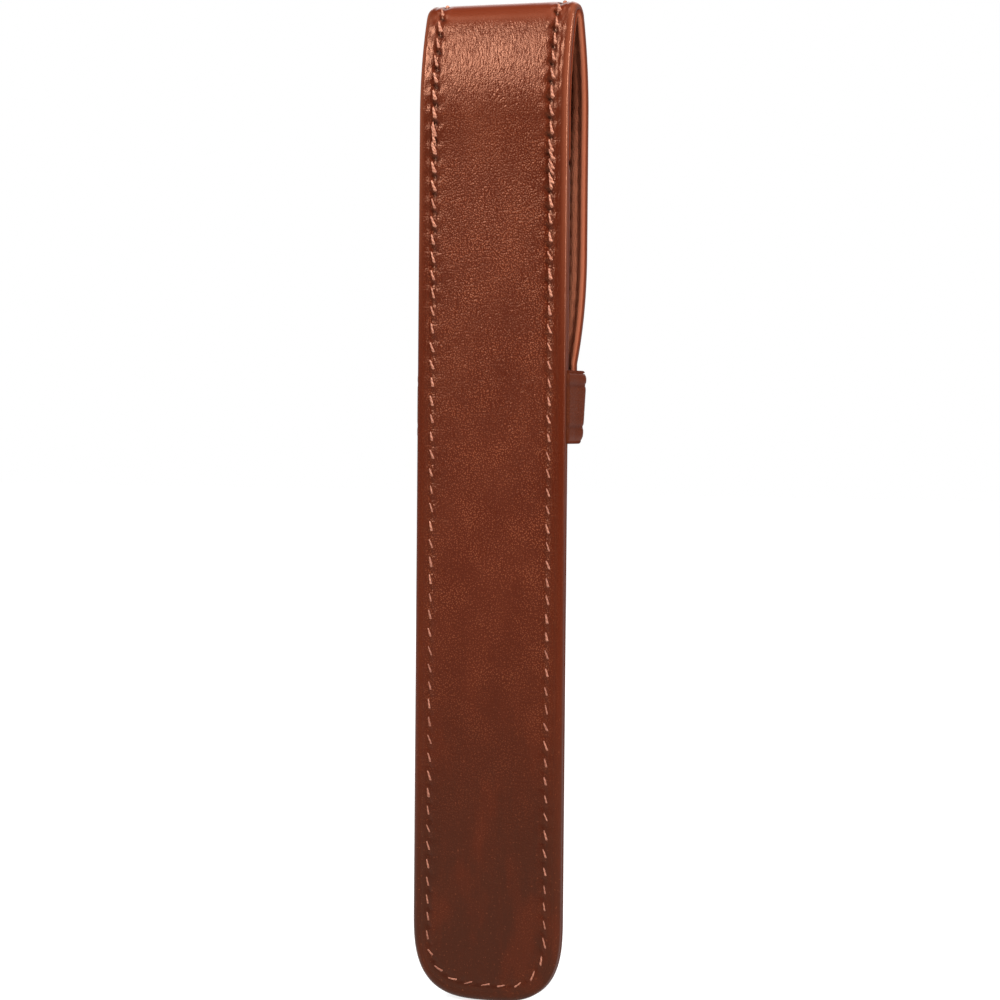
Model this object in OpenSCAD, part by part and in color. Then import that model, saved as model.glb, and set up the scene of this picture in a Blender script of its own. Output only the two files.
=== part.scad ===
// Leather sleeve for one pen, standing upright with its flap closed.
// X runs across the sleeve, +Z runs up its length, and the front faces -Y, with the origin under its middle.
// A depth is a distance from the back face towards the front.
// The strap rises from the back panel, folds over at the crown and comes down the front as the flap,
// whose tongue is tucked under the keeper band.

/* [Sleeve] */
// Width across the sleeve, from edge to edge
sleeve_w = 28; // [24:0.5:40]
// Height from the rounded bottom end to the crown of the loop
sleeve_h = 178; // [165:1:220]
// Height over which the rounded bottom end grows to the full width
end_h = 15.6; // [9:0.2:20]
// Exponent of the rounded ends: 2 is an ellipse, more is squarer
end_power = 3; // [2:0.1:3.5]
// Drop from the foot of the arch to the corners of the pocket's mouth
mouth_drop = 9; // [4:0.5:20]
// How deep the mouth is scooped at its middle
mouth_scoop = 8; // [2:0.5:12]

/* [Leather] */
// Thickness of the long outer leather
outer_t = 1.5; // [1:0.1:2]
// Thickness of the lining of the strap and flap
lining_t = 1.2; // [0.8:0.1:1.6]
// Thickness of the front panel
front_t = 1.2; // [0.8:0.1:1.6]

/* [Pocket] */
// Room inside the pocket at its middle, from back panel to front panel
pocket_gap = 4.8; // [4.4:0.1:8]
// Width of the flat seam margin on each side of the pocket
seam_margin = 3.9; // [3.5:0.1:5]
// Height at which the front panel starts to swell
swell_low = 6; // [5:0.5:10]
// Height at which the front panel has its full swell
swell_full = 40; // [25:1:60]

/* [Loop and flap] */
// Depth of the loop, from the back face to the outer face of the flap
loop_depth = 12.8; // [12.6:0.1:18]
// Height of the arch above its foot
arch_h = 20; // [14:0.5:28]
// Inner radius of the fold at the crown
crown_inner_r = 0.8; // [0.6:0.1:1.4]
// Length of flap that hangs straight below the foot of the arch
fall_straight = 24; // [10:1:28]
// How quickly the flap leans in towards the keeper: 1 is straight, more is later
lean_power = 2.2; // [1.5:0.1:3]

/* [Tongue] */
// How far the tongue starts above the keeper
tongue_rise = 1.2; // [1:0.1:3]
// How far the tip of the tongue reaches below the keeper
tongue_drop = 3.3; // [1:0.1:6]
// Height over which the round tip of the tongue grows to the full width
tip_h = 12; // [8:0.5:14]
// How much nearer the body the side edges of the tongue lie than its middle
tongue_curl = 2.75; // [2:0.05:3]
// Clearance between the front panel and the tongue
tongue_gap = 0.25; // [0.2:0.05:0.5]

/* [Keeper] */
// Height of the keeper's lower edge above the bottom end
keeper_low = 99.6; // [70:0.2:105]
// Height of the keeper band
keeper_h = 13; // [8:0.5:16]
// Thickness of the keeper band
keeper_t = 1.1; // [0.9:0.1:1.5]
// Thickness of its skived end tabs
tab_t = 0.7; // [0.5:0.05:0.9]
// Length of each tab inside the side seam
tab_len = 4.5; // [3:0.5:6]
// Outer radius of the keeper's shoulders
shoulder_r = 3.4; // [2.5:0.1:4]
// How far the keeper's middle stands off further at its upper edge than at its lower
keeper_lean = 0.6; // [0:0.1:1.5]
// Share of the way from its middle to its shoulders over which the keeper is flat
keeper_flat = 0.6; // [0.05:0.05:0.7]
// How far the shoulders lie nearer the body than the middle, at the lower edge
shoulder_drop_low = 1.9; // [1.5:0.1:2.1]
// How far the shoulders lie nearer the body than the middle, at the upper edge
shoulder_drop_high = 0.4; // [0:0.1:1.5]
// Clearance between the tongue and the keeper
keeper_gap = 0.25; // [0.2:0.05:0.6]
// Clearance between the panels' side edges and the keeper
side_gap = 0.06; // [0.05:0.01:0.3]

/* [Stitching] */
// Diameter of the sewing thread
thread_d = 0.6; // [0.4:0.05:0.8]
// Distance from one stitch to the next
stitch_pitch = 3.2; // [2.6:0.1:4]
// Length of the thread that shows in one stitch
stitch_len = 2.5; // [1.8:0.1:2.5]
// Distance from the leather's edge to the stitch row
stitch_inset = 3; // [2.2:0.1:3.3]
// Sideways shift between the two ends of a stitch
stitch_slant = 0.5; // [0:0.05:0.8]

/* [Hidden] */

leather_colour = [0.42, 0.18, 0.10];
lining_colour = [0.48, 0.25, 0.16];
thread_colour = [0.78, 0.50, 0.38];

half_w = sleeve_w / 2;
strap_t = outer_t + lining_t;
arch_foot = sleeve_h - arch_h;
mouth_h = arch_foot - mouth_drop;
keeper_high = keeper_low + keeper_h;

// The arch is a side arc, a crown arc and a mirrored side arc, all tangent, measured on the outer face.
crown_r = crown_inner_r + strap_t;
crown_reach = loop_depth / 2 - crown_r;
crown_lift = arch_h - crown_r;
centre_gap = (crown_reach * crown_reach + crown_lift * crown_lift) / (2 * crown_reach);
side_r = centre_gap + crown_r;
side_angle = asin(crown_lift / centre_gap);
side_arc_len = side_r * side_angle * PI / 180;
half_crown_len = crown_r * (90 - side_angle) * PI / 180;
half_arch_len = side_arc_len + half_crown_len;

// Depths where the flap lies over the swollen front panel.
front_depth = outer_t + pocket_gap + front_t;
tongue_depth = front_depth + tongue_gap + strap_t;
pocket_half_w = half_w - seam_margin;
tongue_high = keeper_high + tongue_rise;
tongue_tip = keeper_low - tongue_drop;
lean_high = arch_foot - fall_straight;

// Each stitch lies in a shallow groove, a hair below the back face.
flush_gap = 0.02;
groove_w = thread_d + 0.3;
groove_depth = thread_d / 2 + 0.05;
back_thread_depth = thread_d / 2 + flush_gap;
proud_thread_depth = 0.1;
butt_gap = 0.3;

end_steps = 10;
first_end_angle = 8;
arch_steps = 9;
crown_steps = 6;
across_steps = 12;
fall_steps = 8;
swell_steps = 6;
scoop_steps = 6;
corner_steps = 5;

function smooth(t) = t <= 0 ? 0 : t >= 1 ? 1 : t * t * (3 - 2 * t);
function range_list(from, to, steps) = [for (i = [0:steps]) from + (to - from) * i / steps];
function power(base, exponent) = base <= 0 ? 0 : pow(base, exponent);

// Half width and height of a rounded end at a sweep angle from 0 at its lowest point to 90 at full width.
function end_half_w(angle, w, n) = w * power(sin(angle), 2 / n);
function end_rise(angle, h, n) = h * (1 - power(cos(angle), 2 / n));

// Right half of the body's outline from the bottom end to full width, drawn in by an inset.
function end_points(inset) =
    let (lowest = end_rise(first_end_angle, end_h - inset, end_power))
    [for (a = range_list(first_end_angle, 90, end_steps))
        [end_half_w(a, half_w - inset, end_power), inset + end_rise(a, end_h - inset, end_power) - lowest]];

function mirrored(points) = [for (i = [len(points) - 1:-1:0]) [-points[i][0], points[i][1]]];

// Closed outline of the body, up to a height.
function body_outline(inset, top) =
    let (right = end_points(inset))
    concat(right, [[half_w - inset, top], [inset - half_w, top]], mirrored(right));

// Depth and height on the near side of the arch, at an offset inward from the outer face.
// Angles run from 0 at the foot to 90 at the crown.
function arch_point(angle, offset) =
    angle <= side_angle
        ? [side_r - (side_r - offset) * cos(angle), arch_foot + (side_r - offset) * sin(angle)]
        : [loop_depth / 2 - (crown_r - offset) * cos(angle), sleeve_h - crown_r + (crown_r - offset) * sin(angle)];

arch_angles = concat(range_list(0, side_angle, arch_steps),
                     [for (i = [1:crown_steps]) side_angle + (90 - side_angle) * i / crown_steps]);

// Swell of the front panel over the pocket.
function swell_across(x) = abs(x) >= pocket_half_w ? 0 : pow(1 - pow(x / pocket_half_w, 2), 1.5);
function swell_up(z) = smooth((z - swell_low) / (swell_full - swell_low));
function front_inner_depth(x, z) = outer_t + pocket_gap * swell_across(x) * swell_up(z);

// Outer face of the flap below the arch: straight, then leaning in over the pocket towards the keeper.
function tongue_face(x) = tongue_depth - tongue_curl * pow(x / half_w, 2);
function lean(z) = z >= lean_high ? 0 : pow((lean_high - z) / (lean_high - tongue_high), lean_power);
function flap_face(x, z) = z >= tongue_high
    ? loop_depth + (tongue_face(x) - loop_depth) * lean(z)
    : tongue_face(x);

function at_depth(x, depth, z) = [x, loop_depth / 2 - depth, z];

// Closed solid between two grids of points of equal size, one on each face of a sheet.
module sheet_solid(near, far) {
    rows = len(near);
    cols = len(near[0]);
    points = concat([for (r = near) for (p = r) p], [for (r = far) for (p = r) p]);
    function id(k, i, j) = (k * rows + i) * cols + j;
    near_faces = [for (i = [0:rows - 2]) for (j = [0:cols - 2]) for (f =
        [[id(0, i, j), id(0, i + 1, j), id(0, i + 1, j + 1)], [id(0, i, j), id(0, i + 1, j + 1), id(0, i, j + 1)]]) f];
    far_faces = [for (i = [0:rows - 2]) for (j = [0:cols - 2]) for (f =
        [[id(1, i, j), id(1, i + 1, j + 1), id(1, i + 1, j)], [id(1, i, j), id(1, i, j + 1), id(1, i + 1, j + 1)]]) f];
    side_faces = [for (i = [0:rows - 2]) for (f =
        [[id(0, i, 0), id(1, i, 0), id(1, i + 1, 0)], [id(0, i, 0), id(1, i + 1, 0), id(0, i + 1, 0)],
         [id(0, i, cols - 1), id(0, i + 1, cols - 1), id(1, i + 1, cols - 1)],
         [id(0, i, cols - 1), id(1, i + 1, cols - 1), id(1, i, cols - 1)]]) f];
    end_faces = [for (j = [0:cols - 2]) for (f =
        [[id(0, 0, j), id(0, 0, j + 1), id(1, 0, j + 1)], [id(0, 0, j), id(1, 0, j + 1), id(1, 0, j)],
         [id(0, rows - 1, j), id(1, rows - 1, j), id(1, rows - 1, j + 1)],
         [id(0, rows - 1, j), id(1, rows - 1, j + 1), id(0, rows - 1, j + 1)]]) f];
    polyhedron(points, concat(near_faces, far_faces, side_faces, end_faces));
}

// Straight run of thread between two points.
module thread_run(a, b) {
    run = b - a;
    length = norm(run);
    translate(a)
        rotate([0, acos(run[2] / length), atan2(run[1], run[0])])
            cylinder(h = length, d = thread_d, $fn = 16);
}

// Length of a chain of points, and the point at a distance along it.
function chain_len(points, i = 0) = i >= len(points) - 1 ? 0 : norm(points[i + 1] - points[i]) + chain_len(points, i + 1);
function chain_point(points, s, i = 0) =
    let (step = norm(points[i + 1] - points[i]))
    i >= len(points) - 2 || s <= step
        ? points[i] + (points[i + 1] - points[i]) * s / step
        : chain_point(points, s - step, i + 1);
function chain_side(points, s) =
    let (run = chain_point(points, s + 0.1) - chain_point(points, s - 0.1))
    [run[1], -run[0]] / norm(run);

// Both ends of a slanted stitch on a flat chain of points, as X and Z.
function stitch_ends(points, s) = [for (k = [-0.5, 0.5])
    chain_point(points, s + k * stitch_len) + chain_side(points, s) * k * stitch_slant];

// Distances of the stitches along a row, from one end to the other.
function stitch_places(length) =
    let (count = floor((length - stitch_len) / stitch_pitch), start = (length - count * stitch_pitch) / 2)
    [for (i = [0:count]) start + i * stitch_pitch];

// Seam line round the pocket, from the top of one side to the top of the other.
function seam_line(top) =
    let (right = end_points(stitch_inset))
    concat([[half_w - stitch_inset, top]], [for (i = [len(right) - 1:-1:0]) right[i]],
           [for (p = right) [-p[0], p[1]]], [[stitch_inset - half_w, top]]);

// Point on the near half of the strap at a distance above the foot of the arch.
function strap_point(s, offset) = s <= side_arc_len
    ? arch_point(s / side_r * 180 / PI, offset)
    : arch_point(side_angle + (s - side_arc_len) / crown_r * 180 / PI, offset);

// Lengthwise section of one strap layer, from a height up to the crown.
module strap_layer_section(low, from_offset, to_offset) {
    polygon(concat(
        [[from_offset, low]], [for (a = arch_angles) arch_point(a, from_offset)],
        [for (i = [len(arch_angles) - 1:-1:0]) arch_point(arch_angles[i], to_offset)], [[to_offset, low]]));
}

// A section drawn in depth and height, carried across the sleeve.
module across(width) {
    translate([0, loop_depth / 2, 0]) rotate([90, 0, -90]) linear_extrude(width, center = true) children();
}

// An outline drawn in width and height, carried from one depth to another.
module between_depths(from_depth, to_depth) {
    translate([0, loop_depth / 2 - from_depth, 0])
        rotate([90, 0, 0])
            linear_extrude(to_depth - from_depth) children();
}

module body_shape(inset, top) {
    polygon(body_outline(inset, top));
}

// Long outer leather from the bottom end to the crown, with the stitch groove and the recesses for the keeper's tabs.
module back_panel() {
    color(leather_colour) difference() {
        intersection() {
            across(sleeve_w + 2) strap_layer_section(-1, 0, outer_t);
            between_depths(-1, loop_depth) body_shape(0, sleeve_h + 1);
        }
        between_depths(-1, groove_depth) difference() {
            body_shape(stitch_inset - groove_w / 2, arch_foot);
            body_shape(stitch_inset + groove_w / 2, arch_foot + 1);
        }
        for (side = [-1, 1]) tab_recess(side);
    }
}

module tab_recess(side) {
    inner = half_w - tab_len - side_gap;
    between_depths(outer_t - tab_t, outer_t + 1)
        translate([side > 0 ? inner : -half_w - 1, keeper_low - side_gap])
            square([half_w + 1 - inner, keeper_h + 2 * side_gap]);
}

// Front of the pocket: flat where it is sewn, swollen over the pen, with a scooped mouth.
module front_panel() {
    low_rows = end_points(0);
    full_width_h = low_rows[end_steps][1];
    high_rows = [for (z = concat(range_list(full_width_h, swell_full, swell_steps),
                                 range_list(swell_full, keeper_high, 1),
                                 range_list(keeper_high, mouth_h, scoop_steps))) [half_w, z]];
    all_rows = concat(low_rows, high_rows);
    rows = [for (i = [0:len(all_rows) - 1]) if (i == 0 || all_rows[i][1] > all_rows[i - 1][1]) all_rows[i]];
    function share(j) = -1 + 2 * j / across_steps;
    function scooped(x, z) = z - mouth_scoop * swell_across(x) * pow(max(0, (z - keeper_high) / (mouth_h - keeper_high)), 2);
    function grid(offset) = [for (r = rows) [for (j = [0:across_steps])
        let (x = r[0] * share(j)) at_depth(x, front_inner_depth(x, r[1]) + offset, scooped(x, r[1]))]];
    color(leather_colour) sheet_solid(grid(0), grid(front_t));
}

// Strap lining from the pocket's mouth to the crown.
module strap_lining() {
    color(lining_colour) across(sleeve_w) strap_layer_section(mouth_h + butt_gap, outer_t, strap_t);
}

// Keeper band: from a tab in one side seam, round the flap and back into the other.
// Each station gives the outer and the inner face as X and depth, at the lower or the upper edge.
function keeper_half(high) =
    let (drop = high ? shoulder_drop_high : shoulder_drop_low,
         middle = tongue_depth + keeper_gap + (high ? keeper_lean : 0),
         inner_w = half_w + side_gap,
         shoulder_x = inner_w + keeper_t - shoulder_r,
         shoulder_depth = middle - drop - (shoulder_r - keeper_t))
    concat(
        [[[0, middle + keeper_t], [0, middle]]],
        [for (share = range_list(keeper_flat, 1, 4))
            let (x = shoulder_x * share, d = middle - drop * pow((share - keeper_flat) / (1 - keeper_flat), 2))
            [[x, d + keeper_t], [x, d]]],
        [for (i = [1:corner_steps]) let (a = 90 - 90 * i / corner_steps)
            [[shoulder_x + shoulder_r * cos(a), shoulder_depth + shoulder_r * sin(a)],
             [shoulder_x + (shoulder_r - keeper_t) * cos(a), shoulder_depth + (shoulder_r - keeper_t) * sin(a)]]],
        [[[inner_w + tab_t, strap_t + 0.3], [inner_w, strap_t]],
         [[inner_w + tab_t, outer_t], [inner_w, outer_t + 0.01]],
         [[inner_w + tab_t / 2, outer_t - tab_t * 0.86], [inner_w - 0.01, outer_t]],
         [[half_w, outer_t - tab_t], [half_w - 0.05, outer_t]],
         [[half_w - tab_len, outer_t - tab_t], [half_w - tab_len, outer_t]]]);

module keeper_band() {
    low = keeper_half(false);
    high = keeper_half(true);
    count = len(low);
    function station(i, face) = [for (k = [0, 1])
        let (half = k == 0 ? low : high, p = half[abs(i)][face])
        at_depth(i < 0 ? -p[0] : p[0], p[1], k == 0 ? keeper_low : keeper_high)];
    color(leather_colour) sheet_solid([for (i = [1 - count:count - 1]) station(i, 0)],
                                      [for (i = [1 - count:count - 1]) station(i, 1)]);
}

// Rows of the flap from the crown to the tongue: depth and height on the arch, then heights on the fall.
module flap_layer(from_offset, to_offset) {
    xs = range_list(-half_w, half_w, across_steps);
    fall_heights = [for (i = [1:fall_steps]) lean_high + (tongue_high - lean_high) * i / fall_steps];
    function arch_row(a, offset) = let (p = arch_point(a, offset))
        [for (x = xs) at_depth(x, loop_depth - p[0], p[1])];
    function fall_row(z, offset) = [for (x = xs) at_depth(x, flap_face(x, z) - offset, z)];
    function grid(offset) = concat(
        [for (i = [len(arch_angles) - 1:-1:0]) arch_row(arch_angles[i], offset)],
        [for (z = concat([lean_high], fall_heights)) fall_row(z, offset)]);
    sheet_solid(grid(from_offset), grid(to_offset));
}

module flap_panel() {
    color(leather_colour) flap_layer(0, outer_t);
}

module flap_lining() {
    color(lining_colour) flap_layer(outer_t, strap_t);
}

// Outline rows of the tongue as half width and height, from its top edge to the round tip.
function tongue_rows(inset) =
    let (angles = range_list(90, first_end_angle, end_steps))
    concat([[half_w - inset, tongue_high]],
           [for (a = angles) [end_half_w(a, half_w - inset, 2), tongue_tip + inset + end_rise(a, tip_h - inset, 2)]]);

module tongue_layer(from_offset, to_offset) {
    rows = tongue_rows(0);
    function share(j) = -1 + 2 * j / across_steps;
    function grid(offset) = [for (r = rows) [for (j = [0:across_steps])
        let (x = r[0] * share(j)) at_depth(x, tongue_face(x) - offset, r[1])]];
    sheet_solid(grid(from_offset), grid(to_offset));
}

module tongue_panel() {
    color(leather_colour) tongue_layer(0, outer_t);
}

module tongue_lining() {
    color(lining_colour) tongue_layer(outer_t, strap_t);
}

// Thread round the pocket and up both sides of the strap, seen on the back.
module back_stitching() {
    line = seam_line(arch_foot);
    color(thread_colour) {
        for (s = stitch_places(chain_len(line)))
            let (e = stitch_ends(line, s))
                thread_run(at_depth(e[0][0], back_thread_depth, e[0][1]), at_depth(e[1][0], back_thread_depth, e[1][1]));
        for (s = stitch_places(half_arch_len), side = [-1, 1])
            let (x = side * (half_w - stitch_inset),
                 sunk = max(proud_thread_depth, back_thread_depth - strap_point(s, 0)[0]),
                 a = strap_point(s - stitch_len / 2, sunk),
                 b = strap_point(s + stitch_len / 2, sunk))
                thread_run(at_depth(x - stitch_slant / 2, a[0], a[1]), at_depth(x + stitch_slant / 2, b[0], b[1]));
    }
}

// The same seam seen on the front panel.
module front_stitching() {
    line = seam_line(mouth_h - stitch_len / 2);
    depth = outer_t + front_t - proud_thread_depth;
    color(thread_colour) for (s = stitch_places(chain_len(line)))
        let (e = stitch_ends(line, s))
            thread_run(at_depth(e[0][0], depth, e[0][1]), at_depth(e[1][0], depth, e[1][1]));
}

// Two rows down the flap, over the arch and the fall.
module flap_stitching() {
    fall_len = arch_foot - tongue_high;
    color(thread_colour) for (side = [-1, 1]) let (x = side * (half_w - stitch_inset)) {
        for (s = stitch_places(half_arch_len))
            let (a = strap_point(s - stitch_len / 2, proud_thread_depth), b = strap_point(s + stitch_len / 2, proud_thread_depth))
                thread_run(at_depth(x - stitch_slant / 2, loop_depth - a[0], a[1]),
                           at_depth(x + stitch_slant / 2, loop_depth - b[0], b[1]));
        for (s = stitch_places(fall_len))
            let (z = tongue_high + s, low = z - stitch_len / 2, high = z + stitch_len / 2)
                thread_run(at_depth(x - stitch_slant / 2, flap_face(x, low) - proud_thread_depth, low),
                           at_depth(x + stitch_slant / 2, flap_face(x, high) - proud_thread_depth, high));
    }
}

// One row round the edge of the tongue.
module tongue_stitching() {
    right = tongue_rows(stitch_inset);
    line = concat(right, [for (i = [len(right) - 1:-1:0]) [-right[i][0], right[i][1]]]);
    color(thread_colour) for (s = stitch_places(chain_len(line)))
        let (e = stitch_ends(line, s))
            thread_run(at_depth(e[0][0], tongue_face(e[0][0]) - proud_thread_depth, e[0][1]),
                       at_depth(e[1][0], tongue_face(e[1][0]) - proud_thread_depth, e[1][1]));
}

back_panel();
front_panel();
keeper_band();
strap_lining();
back_stitching();
front_stitching();
flap_panel();
flap_lining();
flap_stitching();
tongue_panel();
tongue_lining();
tongue_stitching();
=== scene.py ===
"""Looks of a stitched leather sleeve for one pen, seen from its back.

The strap is worked out flat and then bent: a place on it is x across, v along the leather from the bottom
end, and a depth inwards from the outer face. All lengths are in millimetres until a mesh is made.
"""

import math

import bmesh
import bpy
import numpy as np
from mathutils import Matrix, Vector


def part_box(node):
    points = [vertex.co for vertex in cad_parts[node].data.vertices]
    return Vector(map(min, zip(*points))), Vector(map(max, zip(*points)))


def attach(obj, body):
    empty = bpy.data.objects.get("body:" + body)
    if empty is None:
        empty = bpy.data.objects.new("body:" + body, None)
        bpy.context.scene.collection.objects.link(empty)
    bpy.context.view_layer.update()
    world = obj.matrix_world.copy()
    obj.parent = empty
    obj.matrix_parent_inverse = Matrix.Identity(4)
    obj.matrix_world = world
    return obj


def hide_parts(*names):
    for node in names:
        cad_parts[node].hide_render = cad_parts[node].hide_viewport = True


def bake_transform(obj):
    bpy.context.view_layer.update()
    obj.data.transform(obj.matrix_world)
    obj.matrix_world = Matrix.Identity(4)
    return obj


MM = 0.001

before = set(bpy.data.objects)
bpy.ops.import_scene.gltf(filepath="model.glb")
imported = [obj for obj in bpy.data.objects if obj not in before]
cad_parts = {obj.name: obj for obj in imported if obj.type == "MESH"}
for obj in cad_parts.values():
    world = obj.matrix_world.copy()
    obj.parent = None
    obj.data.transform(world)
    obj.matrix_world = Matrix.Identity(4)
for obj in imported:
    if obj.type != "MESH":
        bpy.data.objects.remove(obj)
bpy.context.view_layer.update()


def cad_span(node):
    """Lowest and highest corner of a CAD node in millimetres."""
    low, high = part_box(node)
    return np.array(low) / MM, np.array(high) / MM


# Sizes read from the frame
half_w, half_depth, top_z = cad_span("back_panel")[1]
mouth_z = cad_span("front_panel")[1][2]
tongue_low, tongue_high = cad_span("tongue_panel")
keeper_low, keeper_high = cad_span("keeper_band")
loop_depth = 2 * half_depth
tongue_join_z = tongue_high[2]
tongue_tip_z = tongue_low[2]
keeper_z = keeper_low[2]
keeper_h = keeper_high[2] - keeper_low[2]

# Leather and its seams
outer_t = 1.5
lining_t = 1.2
front_t = 1.2
strap_t = outer_t + lining_t
stitch_inset = 3.0
stitch_pitch = 3.2
butt_gap = 0.3

# Rounded ends: height over which the end grows to full width, and the exponent of its curve
body_end_h = 15.6
body_end_power = 3.0
tip_h = 12.0
tip_power = 2.0

# Arch of the loop: a long side arc and a tight crown arc, tangent to each other
arch_h = 20.0
arch_foot = top_z - arch_h
crown_r = 0.8 + strap_t
crown_reach = loop_depth / 2 - crown_r
crown_lift = arch_h - crown_r
centre_gap = (crown_reach**2 + crown_lift**2) / (2 * crown_reach)
side_r = centre_gap + crown_r
side_angle = math.asin(crown_lift / centre_gap)
side_arc_len = side_r * side_angle
half_arch_len = side_arc_len + crown_r * (math.pi / 2 - side_angle)
arch_len = 2 * half_arch_len

# Fall of the flap, pocket and tongue
lean_z = arch_foot - 24.0
lean_power = 2.2
pocket_gap = 4.8
pocket_half_w = half_w - 3.9
swell_low = 6.0
swell_full = 40.0
mouth_scoop = 8.0
tongue_depth = outer_t + pocket_gap + front_t + 0.25 + strap_t
tongue_curl = 2.75

# The strap is cut into two meshes just below the arch on the flap's side
cut_v = arch_foot + arch_len + 2.0
tip_v = arch_foot + arch_len + (arch_foot - tongue_tip_z)


def smooth(t):
    """Smoothstep from 0 to 1."""
    t = np.clip(t, 0, 1)
    return t * t * (3 - 2 * t)


def bell(x, width):
    """Gaussian bump of height 1 at x = 0."""
    return np.exp(-((x / width) ** 2))


def srgb(red, green, blue):
    """Linear colour of a screen colour given from 0 to 255."""
    return tuple(((c / 255 + 0.055) / 1.055) ** 2.4 for c in (red, green, blue)) + (1.0,)


def tongue_face(x):
    """Depth of the tongue's outer face: its middle, less a parabola across."""
    return tongue_depth - tongue_curl * (x / half_w) ** 2


def flap_face(x, z):
    """Depth of the fall's outer face: straight down, then leaning in to the tongue by a power curve."""
    lean = np.clip((lean_z - z) / (lean_z - tongue_join_z), 0, 1) ** lean_power
    return loop_depth + (tongue_face(x) - loop_depth) * lean


def pocket_swell(x):
    """Share of the pocket's full swell at x: (1 - u^2)^1.5, with u from 0 in the middle to 1 at the seams."""
    return (1 - np.clip(np.abs(x) / pocket_half_w, 0, 1) ** 2) ** 1.5


def front_face(x, z):
    """Depth of the front panel's outer face: the margin's depth plus the pocket's swell."""
    up = smooth((z - swell_low) / (swell_full - swell_low))
    return outer_t + front_t + pocket_gap * pocket_swell(x) * up


def strap_point(x, v, depth):
    """Point in the row frame, in metres, of a place on the flat strap: up the back, round the arch and down
    the fall. On an arc of radius r it lies (r - depth) cos(angle) towards the back and (r - depth) sin(angle)
    up from the arc's centre, with the angle as arc length over r. The arch's second half mirrors its first."""
    s = v - arch_foot
    near = np.clip(np.where(s <= half_arch_len, s, arch_len - s), 0, half_arch_len)
    on_side = near <= side_arc_len
    angle = np.where(on_side, near / side_r, side_angle + (near - side_arc_len) / crown_r)
    radius = np.where(on_side, side_r, crown_r) - depth
    d = np.where(on_side, side_r, loop_depth / 2) - radius * np.cos(angle)
    z = np.where(on_side, arch_foot, top_z - crown_r) + radius * np.sin(angle)
    fall_z = arch_foot - (s - arch_len)
    d = np.where(s > half_arch_len, loop_depth - d, d)
    d = np.where(s > arch_len, flap_face(x, fall_z) - depth, np.where(s < 0, depth, d))
    z = np.where(s > arch_len, fall_z, np.where(s < 0, v, z))
    return np.stack([x, half_depth - d, z], -1) * MM


def front_point(x, z, depth):
    """Point in the row frame, in metres, of a place on the front panel, at a depth in from its outer face."""
    return np.stack([x, half_depth - (front_face(x, z) - depth), z], -1) * MM


def resampled(line, step):
    """A polyline as evenly spaced points, about step apart."""
    run = np.concatenate([[0], np.cumsum(np.linalg.norm(np.diff(line, axis=0), axis=1))])
    even = np.linspace(0, run[-1], int(round(run[-1] / step)) + 1)
    return np.stack([np.interp(even, run, line[:, k]) for k in range(2)], 1)


def strip_outline(length, end_h, power, step):
    """U-shaped outline of a strip: x and height above its rounded end, from the +x side at the cut, round the
    end, to the -x side. The end is a superellipse: x = w sin(a)^(2/p) and h = H (1 - cos(a)^(2/p))."""
    a = np.radians(np.linspace(90, 0, 400))
    end = np.stack([half_w * np.sin(a) ** (2 / power), end_h * (1 - np.cos(a) ** (2 / power))], 1)
    right = np.concatenate([[[half_w, length]], end])
    right = resampled(right, step)
    return np.concatenate([right, right[-2::-1] * [-1, 1]])


def pocket_outline(step):
    """Outline of the front panel: its rounded end, its sides and the scooped mouth with round corners."""
    corner_r = 1.6
    a = np.radians(np.linspace(0, 90, 12))
    side = strip_outline(mouth_z - corner_r, body_end_h, body_end_power, step)
    corner_x = half_w - corner_r + corner_r * np.cos(a)
    corner = np.stack([corner_x, mouth_z - corner_r + corner_r * np.sin(a)], 1)
    x = np.linspace(half_w - corner_r, 0, 60)[1:]
    lip = np.stack([x, mouth_z - mouth_scoop * pocket_swell(x)], 1)
    top = resampled(np.concatenate([corner, lip]), step)
    return np.concatenate([top[::-1], side, (top * [-1, 1])[:-1]])


class Sheet:
    """A leather sheet laid out from its outline inwards to a spine, so that seams run with the outline."""

    def __init__(self, outline, spine_low, spine_high):
        self.x, self.h = outline.T
        spine = np.clip(self.h, spine_low, spine_high)
        to_spine = np.stack([-self.x, spine - self.h], 1)
        self.reach = np.linalg.norm(to_spine, axis=1)
        self.inward = to_spine / np.maximum(self.reach, 1e-9)[:, None]
        seam = outline + self.inward * stitch_inset
        self.run = np.concatenate([[0], np.cumsum(np.linalg.norm(np.diff(seam, axis=0), axis=1))])
        self.pitch = self.run[-1] / max(1, round(self.run[-1] / stitch_pitch))

    def at(self, run, inset):
        """x and height of a place at a distance along the seam and an inset from the edge."""
        x, h, ix, ih = (np.interp(run, self.run, c) for c in (self.x, self.h, *self.inward.T))
        return x + ix * inset, h + ih * inset


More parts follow.
